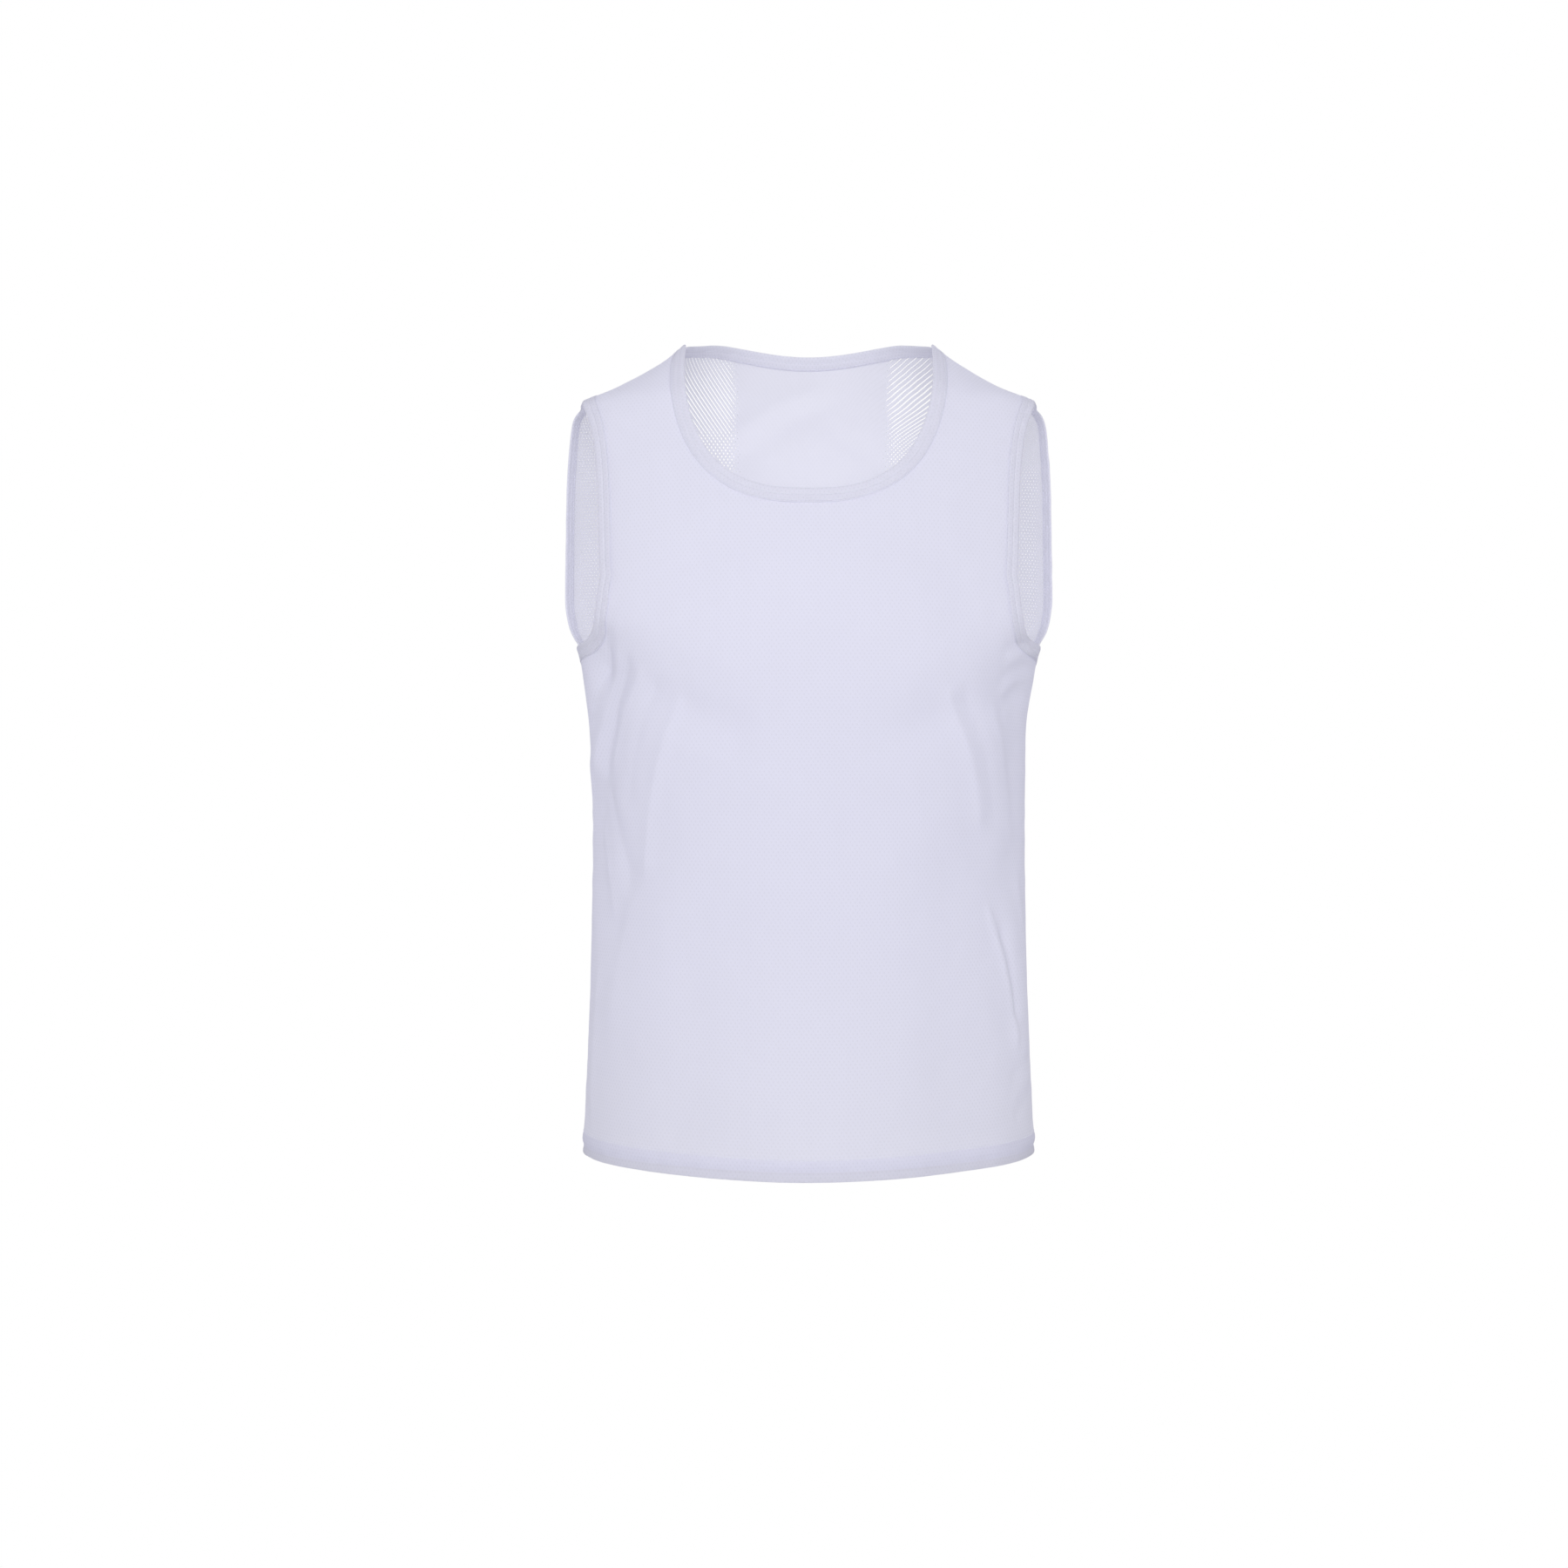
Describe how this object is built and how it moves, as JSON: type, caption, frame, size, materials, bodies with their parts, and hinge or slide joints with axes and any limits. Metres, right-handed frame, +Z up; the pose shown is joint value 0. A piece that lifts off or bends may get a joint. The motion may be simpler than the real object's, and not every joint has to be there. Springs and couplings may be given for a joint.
{
  "type": "sleeveless training bib",
  "caption": "Sleeveless mesh-knit training bib filled out as worn, with a round low neck, wide bound armholes, straight body and turned-up hem; hollow and open at neck, armholes and hem.",
  "frame": {"origin": "midway between the two neck points, where neckline and shoulder seams meet, at their height, between the wearer's shoulders that hold the bib up", "axes": "+Z up along the body, -Y to the wearer's front, +X to the viewer's right as seen from the front (the wearer's left)"},
  "size_m": [0.4112, 0.2405, 0.6757],
  "materials": {
    "mesh_knit": "matte white polyester mesh knit with a faint lavender cast",
    "band_knit": "matte white polyester knit, folded double"
  },
  "bodies": {
    "root": {"front_panel": "mesh_knit", "back_panel": "mesh_knit", "neck_band": "band_knit", "armhole_band_left": "band_knit", "armhole_band_right": "band_knit"}
  },
  "joints": []
}
